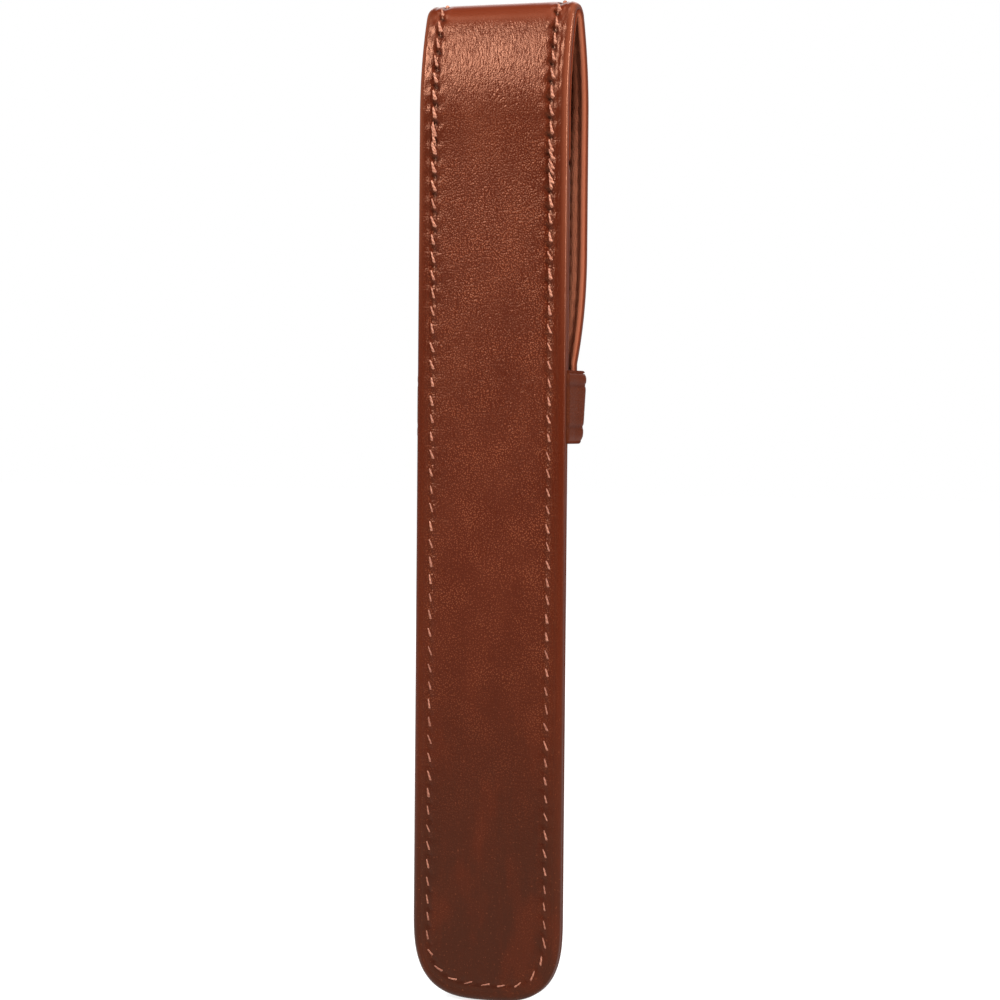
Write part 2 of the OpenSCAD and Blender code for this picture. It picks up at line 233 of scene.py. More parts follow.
def section_rows(thickness, edge_in, edge_deep, back_r):
    """Rows across a sheet as inset, share of the way to the spine, depth and whether on the shown face.
    They run from the spine over the shown face, round the burnished edge and back under to the spine."""
    seam_zone = 6.0
    field_rows, seam_rows = 12, 24
    turn = np.radians(np.linspace(0, 90, 7))[1:-1]
    rows = [(seam_zone, share, 0, 1) for share in np.linspace(1, 0, field_rows)[:-1]]
    rows += [(inset, 0, 0, 1) for inset in np.linspace(seam_zone, edge_in, seam_rows)]
    rows += [(edge_in * (1 - math.sin(a)), 0, edge_deep * (1 - math.cos(a)), 0) for a in turn]
    rows += [(0, 0, edge_deep, 0), (0, 0, thickness - back_r, 0)]
    rows += [(back_r * (1 - math.cos(a)), 0, thickness - back_r * (1 - math.sin(a)), 0) for a in turn[::2]]
    rows += [(back_r, 0, thickness, 0), (seam_zone, 0, thickness, 0), (seam_zone, 0.5, thickness, 0)]
    rows += [(seam_zone, 1, thickness, 0)]
    return np.array(rows), seam_zone


def seam_relief(sheet, inset, strength):
    """How far the shown face sinks at the seam: a channel, a slit at each needle hole and puffs beside it.
    Each is a Gaussian across the seam, and slits and puffs repeat with the stitches along it."""
    channel_sink, slit_sink, puff_sink = 0.22, 0.45, 0.06
    channel_w, slit_w, slit_len, puff_w = 0.62, 0.36, 0.62, 0.6
    slit_slant, slit_off, puff_off = 0.6, 0.2, 1.15
    from_seam = inset - stitch_inset
    phase = np.mod(sheet.run / sheet.pitch + 0.5, 1)[None, :] - 0.5
    along = phase * sheet.pitch
    slit = bell(along - slit_slant * from_seam, slit_w) * bell(from_seam - slit_off, slit_len)
    channel = bell(from_seam, channel_w)
    puff = bell(np.abs(from_seam) - puff_off, puff_w) * np.cos(2 * np.pi * phase)
    sink = strength * (channel_sink * channel + slit_sink * slit + puff_sink * puff)
    return sink, np.clip(slit * strength, 0, 1), channel


def set_point_values(mesh, key, values, kind="FLOAT"):
    """Stores one number or one vector for each point of a mesh, as an attribute that a material can read."""
    field = "vector" if kind == "FLOAT_VECTOR" else "value"
    mesh.attributes.new(key, kind, "POINT").data.foreach_set(field, values.astype(np.float32).ravel())


def in_scene(name, mesh):
    """A new object for a mesh, linked to the scene."""
    piece = bpy.data.objects.new(name, mesh)
    bpy.context.scene.collection.objects.link(piece)
    return piece


def mesh_from_grid(name, points, attributes, wrap_rows=False):
    """A piece from a grid of points, with one point attribute per array. Its open ends are closed flat."""
    rows, cols = points.shape[:2]
    r = np.arange(rows if wrap_rows else rows - 1)
    rr, cc = np.meshgrid(r, np.arange(cols - 1), indexing="ij")
    r2, c2 = (rr + 1) % rows, cc + 1
    quads = np.stack([rr * cols + cc, rr * cols + c2, r2 * cols + c2, r2 * cols + cc], -1).reshape(-1, 4)
    mesh = bpy.data.meshes.new(name)
    mesh.from_pydata(points.reshape(-1, 3), [], quads)
    for key, values in attributes.items():
        set_point_values(mesh, key, values, "FLOAT_VECTOR" if values.ndim == 3 else "FLOAT")
    return finished(name, mesh)


def finished(name, mesh):
    """Merges doubles, closes open ends, turns the faces outwards and puts the mesh in the scene."""
    bm = bmesh.new()
    bm.from_mesh(mesh)
    bmesh.ops.remove_doubles(bm, verts=bm.verts, dist=1e-7)
    bmesh.ops.dissolve_degenerate(bm, edges=bm.edges, dist=1e-8)
    for face in bm.faces:
        face.smooth = True
    open_edges = [e for e in bm.edges if e.is_boundary]
    if open_edges:
        for face in bmesh.ops.holes_fill(bm, edges=open_edges, sides=0)["faces"]:
            for edge in face.edges:
                edge.smooth = False
    bmesh.ops.recalc_face_normals(bm, faces=bm.faces)
    bm.to_mesh(mesh)
    bm.free()
    return in_scene(name, mesh)


def leather_piece(name, sheet, place, flat_v, thickness, edge=(1.5, 0.8, 0.25), relief=1.0):
    """A leather sheet bent into place, with its seam relief and the masks that its material reads.
    edge gives how far in and how deep the worn edge's round goes, and the radius of the other edge."""
    edge_in, edge_deep, _ = edge
    rows, seam_zone = section_rows(thickness, *edge)
    row_inset, to_spine, row_depth, is_shown = rows.T[:, :, None]
    inset = row_inset + to_spine * (sheet.reach[None, :] - seam_zone)
    inset = np.minimum(inset, sheet.reach[None, :])
    x = sheet.x + sheet.inward[:, 0] * inset
    h = sheet.h + sheet.inward[:, 1] * inset
    v = flat_v(h)
    shown = is_shown * np.ones_like(inset)
    deeper_up = 0.35 + 0.65 * smooth((v - 100) / 50)
    # How strong the painted shade in the needle holes is: more towards the crown
    darker_up = 0.15 + 0.85 * smooth((v - 115) / 40)
    sink, hole, channel = seam_relief(sheet, inset, relief * deeper_up)
    margin_roll = 0.3 * smooth((stitch_inset - 0.4 - inset) / 2.6) * shown
    depth = row_depth + shown * sink + margin_roll * (row_depth == 0)
    masks = {
        "flat": np.stack([x, v, row_depth * np.ones_like(x)], -1),
        "margin": np.clip(1 - inset / (stitch_inset - 0.5), 0, 1) ** 0.7,
        "cut_edge": smooth((row_depth / edge_deep - 0.45) / 0.5) * (inset < 0.3 * edge_in),
        # Band on the round of the worn edge: smoother, and near the top painted lighter as a painted highlight
        "burnish_and_highlight": bell(inset - 0.25 * edge_in, 0.3 * edge_in) * (row_depth < 0.6 * thickness),
        "hole": hole * shown * darker_up,
        "channel": channel * shown,
    }
    return mesh_from_grid(name, place(x, h, depth), masks)


def thread_piece(name, sheet, place, look, extra_runs=()):
    """Every stitch of one seam: a short tube with a bead near its lower end, which dives into a needle hole
    at each end by a power curve. look gives, for the heights of the stitches, the thread's radius and how far
    it stands proud."""
    seat, dive, dive_power = 0.22, 0.6, 3.6
    bead_size, bead_at, bead_len = 0.55, 0.62, 0.2
    end_taper, downhill_taper, flatness = 0.45, 0.4, 0.8
    reach_off = 0.05
    count = int(round(sheet.run[-1] / sheet.pitch))
    centres = np.concatenate([(np.arange(count) + 0.5) * sheet.pitch, np.array(list(extra_runs))])
    rings, sides = 11, 8
    t = np.linspace(-1, 1, rings)[None, :, None]
    turn = np.linspace(0, 2 * np.pi, sides, endpoint=False)[None, None, :]
    chance = np.random.default_rng(11)
    wobble = chance.uniform(-1, 1, (5, len(centres), 1, 1))
    lean_in = 0.44 + 0.2 * wobble[0]
    half_len = (0.43 + 0.05 * wobble[1]) * sheet.pitch
    run = centres[:, None, None] + 0.1 * wobble[2] + t * half_len
    inset = stitch_inset - 0.1 + 0.09 * wobble[3] + t * lean_in
    radius, proud = (value[:, None, None] for value in look(sheet.at(centres, stitch_inset)[1]))
    radius = radius * (1 + 0.22 * wobble[4])
    downhill = np.sign(sheet.at(centres, stitch_inset)[0])[:, None, None]
    depth = seat - proud + (dive + proud) * np.abs(t) ** dive_power

    def centre(run, inset, depth):
        x, h = sheet.at(run, inset)
        return place(x, h, depth)

    middle = centre(run, inset, depth)
    side = centre(run, inset + reach_off, depth) - middle
    up = centre(run, inset, depth - reach_off) - middle
    side /= np.linalg.norm(side, axis=-1, keepdims=True)
    up /= np.linalg.norm(up, axis=-1, keepdims=True)
    bead = bead_size * bell(downhill * t - bead_at, bead_len)
    taper = radius * ((1 - end_taper * np.abs(t) ** 2.5) * (1 + downhill_taper * downhill * t) + bead) * MM
    around = np.cos(turn)[..., None] * side + flatness * np.sin(turn)[..., None] * up
    ring = middle + taper[..., None] * around
    stitches = len(ring)
    base = (np.arange(stitches) * rings * sides)[:, None, None]
    i, j = np.meshgrid(np.arange(rings - 1), np.arange(sides), indexing="ij")
    j2 = (j + 1) % sides
    quads = np.stack([i * sides + j, i * sides + j2, (i + 1) * sides + j2, (i + 1) * sides + j], -1)
    quads = (quads.reshape(1, -1, 4) + base).reshape(-1, 4)
    mesh = bpy.data.meshes.new(name)
    mesh.from_pydata(ring.reshape(-1, 3), [], quads)
    ply = np.broadcast_to(t * half_len + turn * 0.12, ring.shape[:3])
    set_point_values(mesh, "ply", ply)
    worn = np.broadcast_to(chance.uniform(0, 1, (stitches, 1, 1)), ring.shape[:3])
    set_point_values(mesh, "worn", worn)
    bm = bmesh.new()
    bm.from_mesh(mesh)
    bmesh.ops.holes_fill(bm, edges=[e for e in bm.edges if e.is_boundary], sides=0)
    for face in bm.faces:
        face.smooth = True
    bmesh.ops.recalc_face_normals(bm, faces=bm.faces)
    bm.to_mesh(mesh)
    bm.free()
    return in_scene(name, mesh)


def keeper_piece(name):
    """The keeper band: a rounded strip with two creases, carried along its path from seam to seam. The path
    is a flat middle that falls off as a parabola, a shoulder arc, a leg and a tab under the seam."""
    band_t, tab_t, shoulder_r, tab_len = 1.1, 0.45, 3.4, 4.5
    keeper_gap, lean_out, drop_low, drop_high = 0.25, 0.6, 1.9, 0.4
    flat_share = 0.6
    inner_w = half_w + 0.02
    centre_r = shoulder_r - band_t / 2
    shoulder_x = inner_w + band_t - shoulder_r

    rings_up = 34
    lip = 0.6
    a = np.radians(np.linspace(-90, 90, 9))
    outer_z = np.linspace(lip, keeper_h - lip, rings_up)
    crease_up, crease_down, crease_w, crease_sink = 3.0, 2.6, 0.35, 0.36
    crease = bell(outer_z - crease_up, crease_w) + bell(keeper_h - crease_down - outer_z, crease_w)
    from_edge = np.minimum(outer_z, keeper_h - outer_z)
    dome = 1.3 * np.clip(1 - from_edge / 1.5, 0, 1) ** 1.6
    out_side = np.stack([outer_z, 1 - crease_sink * crease - dome], 1)
    full = 1 + out_side[-1, 1]
    top = np.stack([keeper_h - lip + lip * np.cos(a), full * (1 - np.sin(a)) / 2 - 1], 1)[::-1]
    in_side = np.stack([np.linspace(keeper_h - lip, lip, 5), -np.ones(5)], 1)
    bottom = np.stack([lip - lip * np.cos(a), full * (1 + np.sin(a)) / 2 - 1], 1)
    ring = np.concatenate([out_side, top[1:-1], in_side, bottom[1:-1]])
    share = (ring[:, 0] / keeper_h)[:, None]
    on_cut = np.repeat([0.0, 1.0, 0.0, 1.0], [rings_up, len(top) - 2, len(in_side), len(bottom) - 2])

    middle = tongue_depth + keeper_gap + lean_out * share
    drop = drop_low + (drop_high - drop_low) * share
    half_t = band_t / 2

    def blended(low, high, count):
        return low + (high - low) * np.linspace(0, 1, count)[None, :]

    x1 = blended(0, shoulder_x, 26) * np.ones_like(share)
    past_flat = np.clip((x1 / shoulder_x - flat_share) / (1 - flat_share), 0, 1)
    d1 = middle - drop * past_flat**2 + half_t
    turn = np.radians(np.linspace(90, 0, 18))[None, 1:]
    shoulder_d = middle - drop - (shoulder_r - band_t)
    x2 = shoulder_x + centre_r * np.cos(turn) * np.ones_like(share)
    d2 = shoulder_d + centre_r * np.sin(turn)
    leg_low = outer_t + 0.5
    x3 = blended(inner_w + half_t, inner_w + tab_t / 2, 10)[:, 1:] * np.ones_like(share)
    d3 = shoulder_d + (leg_low - shoulder_d) * np.linspace(0, 1, 10)[None, 1:]
    tuck = np.radians(np.linspace(0, 90, 6))[None, 1:]
    tab_d = outer_t - tab_t / 2
    x4 = (inner_w + tab_t / 2 - 0.5 + 0.5 * np.cos(tuck)) * np.ones_like(share)
    d4 = leg_low - (leg_low - tab_d) * np.sin(tuck) * np.ones_like(share)
    x5 = blended(half_w - 0.3, half_w - tab_len, 4)[:, 1:] * np.ones_like(share)
    d5 = tab_d * np.ones_like(x5)
    half_x = np.concatenate([x1, x2, x3, x4, x5], 1)
    half_d = np.concatenate([d1, d2, d3, d4, d5], 1)
    x = np.concatenate([-half_x[:, :0:-1], half_x], 1)
    d = np.concatenate([half_d[:, :0:-1], half_d], 1)

    along = np.stack([np.gradient(x, axis=1), np.gradient(d, axis=1)], -1)
    along /= np.linalg.norm(along, axis=-1, keepdims=True)
    thin = np.full(half_x.shape[1], band_t / 2)
    thin[x1.shape[1] + x2.shape[1]:] = tab_t / 2
    thin = np.convolve(np.pad(thin, 3, mode="edge"), np.ones(7) / 7, mode="valid")
    thin = np.concatenate([thin[:0:-1], thin])
    offset = ring[:, 1:2] * thin[None, :]
    px = x - along[..., 1] * offset
    pd = d + along[..., 0] * offset
    z = keeper_z + ring[:, 0:1] * np.ones_like(px)
    run = np.concatenate([[0], np.cumsum(np.linalg.norm(np.diff(np.stack([x[0], d[0]], 1), axis=0), axis=1))])
    everywhere = np.ones_like(px)
    # crease_dark sets how strongly the keeper's creases are painted with shade
    margin_w, crease_dark = 2.2, 4.0
    from_rim = np.minimum(ring[:, 0], keeper_h - ring[:, 0])
    masks = {
        "flat": np.stack([run[None, :] * everywhere, z, offset], -1),
        "margin": np.clip(1 - from_rim / margin_w, 0, 1)[:, None] * everywhere,
        "cut_edge": on_cut[:, None] * everywhere,
        "burnish_and_highlight": np.zeros_like(px),
        "hole": np.zeros_like(px),
        "channel": np.pad(crease_dark * crease, (0, len(ring) - rings_up))[:, None] * everywhere,
    }
    points = np.stack([px, half_depth - pd, z], -1) * MM
    return mesh_from_grid(name, points, masks, wrap_rows=True)


class Tree:
    """Small helper that adds nodes to a node tree and joins them."""

    def __init__(self, tree):
        self.tree = tree

    def node(self, kind, inputs=None, **settings):
        made = self.tree.nodes.new(kind)
        for key, value in settings.items():
            setattr(made, key, value)
        for key, value in (inputs or {}).items():
            self.feed(made.inputs[key], value)
        return made

    def feed(self, socket, value):
        if isinstance(value, bpy.types.NodeSocket):
            self.tree.links.new(value, socket)
        else:
            socket.default_value = value

    def math(self, operation, a, b=0.0, c=0.0):
        made = self.node("ShaderNodeMath", operation=operation)
        for socket, value in zip(made.inputs, (a, b, c)):
            self.feed(socket, value)
        return made.outputs[0]

    def times(self, a, b):
        return self.math("MULTIPLY", a, b)

    def without(self, share):
        """What is left of 1 without a share."""
        return self.math("SUBTRACT", 1.0, share)

    def mix(self, share, a, b):
        made = self.node("ShaderNodeMix", data_type="RGBA")
        for name, value in (("Factor_Float", share), ("A_Color", a), ("B_Color", b)):
            self.feed(next(s for s in made.inputs if s.identifier == name), value)
        return next(s for s in made.outputs if s.identifier == "Result_Color")

    def ramp(self, value, low, high):
        made = self.node("ShaderNodeMapRange", {"Value": value, "From Min": low, "From Max": high})
        made.interpolation_type = "SMOOTHSTEP"
        return made.outputs["Result"]

    def stretched(self, vector, scale):
        return self.node("ShaderNodeVectorMath", {0: vector, 1: scale}, operation="MULTIPLY").outputs[0]

    def noise(self, vector, scale, detail=2.0, roughness=0.5):
        inputs = {"Vector": vector, "Scale": scale, "Detail": detail, "Roughness": roughness}
        return self.node("ShaderNodeTexNoise", inputs).outputs["Fac"]


def group_sockets(group, inputs, outputs):
    for name, kind in inputs:
        group.interface.new_socket(name=name, in_out="INPUT", socket_type=kind)
    for name, kind in outputs:
        group.interface.new_socket(name=name, in_out="OUTPUT", socket_type=kind)


def grain_group():
    """Leather grain on flat leather millimetres: pebbles, and wrinkles drawn out along the strap, by the
    amounts given. Puts out a height and a mask of the tops of the pebbles and wrinkles."""
    group = bpy.data.node_groups.new("leather_grain", "ShaderNodeTree")
    group_sockets(
        group,
        [("Flat", "NodeSocketVector"), ("Wrinkle", "NodeSocketFloat"), ("Pebble", "NodeSocketFloat")],
        [("Height", "NodeSocketFloat"), ("Tops", "NodeSocketFloat")],
    )
    t = Tree(group)
    given = t.node("NodeGroupInput")
    flat = given.outputs["Flat"]
    cells = t.node(
        "ShaderNodeTexVoronoi", {"Vector": flat, "Scale": 2.7, "Randomness": 1.0},
        voronoi_dimensions="2D", feature="SMOOTH_F1",
    )
    cells.inputs["Smoothness"].default_value = 0.3
    pebble = t.math("SUBTRACT", 1.0, t.times(cells.outputs["Distance"], 1.5))
    fine = t.noise(flat, 3.2, 1.0, 0.5)
    drift = t.noise(flat, 0.16, 2.0, 0.5)
    grit = t.math("ADD", t.times(pebble, 0.75), t.times(fine, 0.7))
    pebble_height = t.times(grit, given.outputs["Pebble"])
    bend = t.noise(t.stretched(flat, (0.9, 0.35, 0.5)), 1.0, 1.0)
    bend = t.times(t.math("SUBTRACT", bend, 0.5), 1.3)
    push = t.node("ShaderNodeCombineXYZ", {"X": bend}).outputs[0]
    pushed = t.node("ShaderNodeVectorMath", {0: flat, 1: push}, operation="ADD").outputs[0]
    folds = t.noise(t.stretched(pushed, (2.35, 0.5, 1.0)), 1.0, 1.0, 0.5)
    from_fold = t.times(t.math("SUBTRACT", folds, 0.5), 5.0)
    ridge = t.without(t.math("ABSOLUTE", from_fold))
    wrinkle_height = t.times(ridge, given.outputs["Wrinkle"])
    height = t.math("ADD", pebble_height, wrinkle_height)
    raised = t.math("ADD", grit, t.times(drift, 0.5))
    spots = t.times(t.ramp(raised, 1.05, 1.26), given.outputs["Pebble"])
    # The tops mask carries the pebble tops and the wrinkle ridges, which the wear group paints lighter as a
    # painted highlight
    tops = t.math("ADD", spots, t.times(wrinkle_height, 0.3))
    t.node("NodeGroupOutput", {"Height": height, "Tops": tops})
    return group


def patina_group():
    """Colour of worn leather: clouds of dye, grain tops lighter partly by grain tone and partly as a painted
    highlight, a darker lower end that is partly painted shade, warm worn margins, burnished cut edges with a
    painted highlight along their round, and painted shade in the stitch channels and needle holes. The crown
    takes a painted highlight outside and painted shade inside."""
    group = bpy.data.node_groups.new("dye_and_wear", "ShaderNodeTree")
    inputs = [("Flat", "NodeSocketVector"), ("Place", "NodeSocketVector"), ("Tops", "NodeSocketFloat")]
    inputs += [(name, "NodeSocketColor") for name in DYE_NAMES]
    inputs += [("Crown", "NodeSocketFloat"), ("Dullness", "NodeSocketFloat")]
    group_sockets(group, inputs, [("Color", "NodeSocketColor"), ("Roughness", "NodeSocketFloat")])
    t = Tree(group)
    given = t.node("NodeGroupInput")
    dye, light_dye_and_highlight, low_dye_and_shade, margin_dye, edge_dye, crown_highlight_and_shade = (given.outputs[name] for name in DYE_NAMES)
    tops = given.outputs["Tops"]
    mask = {}
    for name in ("margin", "cut_edge", "burnish_and_highlight", "hole", "channel"):
        mask[name] = t.node("ShaderNodeAttribute", attribute_name=name).outputs["Fac"]
    height = t.node("ShaderNodeSeparateXYZ", {0: given.outputs["Place"]}).outputs["Z"]
    clouds = t.noise(t.stretched(given.outputs["Flat"], (0.12, 0.05, 0.1)), 1.0, 3.0, 0.55)
    streaks = t.noise(t.stretched(given.outputs["Flat"], (0.9, 0.06, 0.5)), 1.0, 3.0, 0.6)
    colour = t.mix(t.times(t.ramp(clouds, 0.38, 0.7), 0.06), dye, light_dye_and_highlight)
    # Lighter grain tops: partly grain tone, partly a painted highlight on the pebbles and wrinkle ridges
    colour = t.mix(t.times(t.math("MINIMUM", tops, 1.0), 0.8), colour, light_dye_and_highlight)
    # Darker towards the bottom: partly dye, partly painted shade for the light falling off downwards, broken
    # up by streaks and clouds
    low = t.ramp(height, 0.08, 0.008)
    streaked = t.times(t.math("SUBTRACT", streaks, 0.5), t.times(low, 0.9))
    low = t.math("ADD", low, streaked)
    low = t.times(low, t.without(t.times(t.ramp(clouds, 0.46, 0.62), 0.55)))
    low = t.times(low, t.without(t.times(tops, 0.45)))
    colour = t.mix(low, colour, low_dye_and_shade)
    flecks = t.ramp(t.noise(given.outputs["Flat"], 2.0, 3.0, 0.6), 0.62, 0.7)
    colour = t.mix(t.times(flecks, 0.4), colour, light_dye_and_highlight)
    # Painted light at the crown: a painted highlight on the outer leather, painted shade inside the lining's
    # loop
    colour = t.mix(given.outputs["Crown"], colour, crown_highlight_and_shade)
    colour = t.mix(t.times(mask["margin"], t.ramp(height, 0.0, 0.1)), colour, margin_dye)
    # Painted shade in the stitch channel and in the keeper's creases
    colour = t.mix(t.times(mask["channel"], 0.16), colour, srgb(62, 22, 11))
    # Cut edges take the same darker end towards the bottom, partly painted shade
    edge_colour = t.mix(t.times(low, 0.6), edge_dye, low_dye_and_shade)
    colour = t.mix(mask["cut_edge"], colour, edge_colour)
    # Painted highlight: a lighter band along the round of the worn edge near the top, where a lamp's highlight
    # falls
    painted_edge_highlight = t.times(t.times(mask["burnish_and_highlight"], t.ramp(height, 0.1, 0.16)), 0.4)
    colour = t.mix(painted_edge_highlight, colour, srgb(168, 96, 68))
    # Painted shade: the needle holes painted near black
    colour = t.mix(t.math("MINIMUM", t.times(mask["hole"], 1.1), 0.92), colour, srgb(30, 11, 6))
    rough = t.math("ADD", given.outputs["Dullness"], t.times(clouds, 0.1))
    rough = t.math("SUBTRACT", rough, t.times(mask["margin"], 0.04))
    rough = t.math("SUBTRACT", rough, t.times(mask["burnish_and_highlight"], 0.08))
    rough = t.math("ADD", rough, t.times(mask["cut_edge"], 0.3))
    t.node("NodeGroupOutput", {"Color": colour, "Roughness": rough})
    return group


def leather_material(name, dyes, wrinkle, pebble, relief_mm, shine, dullness, crown_band):
    """One leather finish, from the shared grain and wear groups. The crown's painted colour, a painted
    highlight on the outer leather and painted shade on the lining, is full up to the first distance of
    crown_band from the crown's middle line, and gone at the second."""
    material = bpy.data.materials.new(name)
    material.use_nodes = True
    t = Tree(material.node_tree)
    shader = material.node_tree.nodes["Principled BSDF"]
    flat = t.node("ShaderNodeAttribute", attribute_name="flat").outputs["Vector"]
    place = t.node("ShaderNodeTexCoord").outputs["Object"]
    along = t.node("ShaderNodeSeparateXYZ", {0: flat}).outputs["Y"]
    near_crown = t.ramp(along, 138, 168)
    low_smooth = t.ramp(along, 12, 75)
    grain = t.node("ShaderNodeGroup", node_tree=GRAIN)
    t.feed(grain.inputs["Flat"], flat)
    from_crown = t.math("ABSOLUTE", t.math("SUBTRACT", along, arch_foot + half_arch_len))
    over_fold = t.ramp(from_crown, 4.8, 6.0)
    plain = t.node("ShaderNodeAttribute", attribute_name="margin").outputs["Fac"]
    grained = t.times(over_fold, t.without(t.times(plain, 0.8)))
    t.feed(grain.inputs["Wrinkle"], t.times(t.times(near_crown, wrinkle), grained))
    all_over = t.math("ADD", 0.35, t.times(low_smooth, 0.65))
    all_over = t.math("SUBTRACT", all_over, t.times(near_crown, 0.7))
    t.feed(grain.inputs["Pebble"], t.times(t.times(all_over, pebble), grained))
    wear = t.node("ShaderNodeGroup", node_tree=WEAR)
    t.feed(wear.inputs["Flat"], flat)
    t.feed(wear.inputs["Place"], place)
    t.feed(wear.inputs["Tops"], grain.outputs["Tops"])
    t.feed(wear.inputs["Crown"], t.ramp(from_crown, crown_band[1], crown_band[0]))
    wear.inputs["Dullness"].default_value = dullness
    for socket, dye in dyes.items():
        wear.inputs[socket].default_value = srgb(*dye)
    relief = {"Height": grain.outputs["Height"], "Strength": 1.0, "Distance": relief_mm * MM}
    bump = t.node("ShaderNodeBump", relief)
    t.feed(shader.inputs["Base Color"], wear.outputs["Color"])
    t.feed(shader.inputs["Roughness"], wear.outputs["Roughness"])
    t.feed(shader.inputs["Normal"], bump.outputs["Normal"])
    shader.inputs["Specular IOR Level"].default_value = shine
    shader.inputs["Specular Tint"].default_value = (1.0, 0.45, 0.27, 1.0)
    return material


def thread_material():
    """Waxed two-ply thread: a slanting ply twist as relief, and darker between the plies."""
    material = bpy.data.materials.new("waxed_thread")
    material.use_nodes = True
    t = Tree(material.node_tree)
    shader = material.node_tree.nodes["Principled BSDF"]
    ply = t.node("ShaderNodeAttribute", attribute_name="ply").outputs["Fac"]
    wave = t.math("ABSOLUTE", t.math("SINE", t.times(ply, 4.2)))
    place = t.node("ShaderNodeTexCoord").outputs["Object"]
    tint = t.noise(place, 260.0, 2.0)
    height = t.node("ShaderNodeSeparateXYZ", {0: place}).outputs["Z"]
    # Darker between the plies, lighter on their crests
    colour = t.mix(wave, srgb(142, 76, 52), srgb(212, 144, 114))
    colour = t.mix(t.times(t.ramp(tint, 0.4, 0.7), 0.4), colour, srgb(160, 92, 68))
    low = t.ramp(height, 0.15, 0.03)
    colour = t.mix(t.times(low, 0.4), colour, srgb(170, 104, 82))
    worn = t.node("ShaderNodeAttribute", attribute_name="worn").outputs["Fac"]
    fading = t.times(worn, t.math("ADD", 0.12, t.times(low, 0.5)))
    colour = t.mix(fading, colour, srgb(116, 58, 38))
    bump = t.node("ShaderNodeBump", {"Height": wave, "Strength": 0.7, "Distance": 0.06 * MM})
    t.feed(shader.inputs["Base Color"], colour)
    t.feed(shader.inputs["Normal"], bump.outputs["Normal"])
    shader.inputs["Roughness"].default_value = 0.5
    shader.inputs["Specular IOR Level"].default_value = 0.4
    return material


def white_stage(name, shadow_depth):
    """A pale floor that the camera sees as near white far away. Its glow is weaker close to the object, a
    painted round shade, in which the object's own shadow also shows."""
    material = bpy.data.materials.new(name)
    material.use_nodes = True
    t = Tree(material.node_tree)
    shader = material.node_tree.nodes["Principled BSDF"]
    shader.inputs["Base Color"].default_value = (0.35, 0.35, 0.35, 1.0)
    shader.inputs["Roughness"].default_value = 0.9
    shader.inputs["Specular IOR Level"].default_value = 0.0
    rays = t.node("ShaderNodeLightPath")
    mirrored = t.math("MAXIMUM", rays.outputs["Is Glossy Ray"], rays.outputs["Is Transmission Ray"])
    seen = t.math("MAXIMUM", rays.outputs["Is Camera Ray"], mirrored)
    place = t.node("ShaderNodeTexCoord").outputs["Object"]
    away = t.node("ShaderNodeVectorMath", {0: place}, operation="LENGTH").outputs["Value"]
    # Painted shade: a fixed round dimming of the floor's glow around the object
    glow_level = t.math("SUBTRACT", 0.96, t.times(t.ramp(away, 0.6, 0.1), shadow_depth))
    strength = t.times(seen, glow_level)
    glow = t.node("ShaderNodeEmission", {"Color": (1, 1, 1, 1), "Strength": strength})
    both = t.node("ShaderNodeAddShader")
    t.feed(both.inputs[0], shader.outputs[0])
    t.feed(both.inputs[1], glow.outputs[0])
    t.feed(material.node_tree.nodes["Material Output"].inputs["Surface"], both.outputs[0])
    return material


def dress(piece, material, slot_name, *replaced):
    piece.data.materials.clear()
    piece.data.materials.append(material)
    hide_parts(*replaced)
    return piece


# Materials
DYE_NAMES = ("Dye", "Light Dye And Highlight", "Low Dye And Shade", "Margin Dye", "Edge Dye", "Crown Highlight And Shade")
GRAIN = grain_group()
WEAR = patina_group()
# The crown colours below are painted light: lighter on the outer crown as a painted highlight, dark on the
# lining as painted shade
chestnut = {
    "Dye": (75, 20, 4), "Light Dye And Highlight": (141, 72, 45), "Low Dye And Shade": (54, 19, 10),
    "Margin Dye": (84, 26, 7), "Edge Dye": (72, 24, 10), "Crown Highlight And Shade": (108, 40, 17),
}
# The lining's dark crown colour is painted shade for the inside of the loop; with the flap open it shows as a
# dark band
lining_dyes = {
    "Dye": (194, 118, 88), "Light Dye And Highlight": (216, 144, 114), "Low Dye And Shade": (136, 72, 50),
    "Margin Dye": (176, 100, 72), "Edge Dye": (100, 40, 22), "Crown Highlight And Shade": (72, 30, 16),
}
keeper_dyes = {
    "Dye": (74, 28, 10), "Light Dye And Highlight": (108, 50, 28), "Low Dye And Shade": (76, 31, 16),
    "Margin Dye": (82, 32, 13), "Edge Dye": (76, 28, 12), "Crown Highlight And Shade": (74, 28, 10),
}
outer_leather = leather_material(
    "outer_leather", chestnut,
    wrinkle=0.42, pebble=1.0, relief_mm=0.055, shine=0.44, dullness=0.25, crown_band=(4.2, 7.0),
)
front_leather = leather_material(
    "front_leather", chestnut,
    wrinkle=0.0, pebble=0.9, relief_mm=0.07, shine=0.4, dullness=0.27, crown_band=(0.0, 0.1),
)
lining_leather = leather_material(
    "lining_leather", lining_dyes,
    wrinkle=0.2, pebble=1.2, relief_mm=0.12, shine=0.03, dullness=0.7, crown_band=(16.0, 36.0),
)
keeper_leather = leather_material(
    "keeper_leather", keeper_dyes,
    wrinkle=0.0, pebble=0.5, relief_mm=0.05, shine=0.14, dullness=0.48, crown_band=(0.0, 0.1),
)
thread = thread_material()

# Outer leather: one mesh for the back and crown, one for the fall and tongue
step = 0.45
back_sheet = Sheet(strip_outline(cut_v, body_end_h, body_end_power, step), body_end_h, cut_v)
fall_sheet = Sheet(strip_outline(tip_v - cut_v, tip_h, tip_power, step), tip_h, tip_v - cut_v)


def on_back(x, h, depth):
    return strap_point(x, h, depth)


def on_fall(x, h, depth):
    return strap_point(x, tip_v - h, depth)


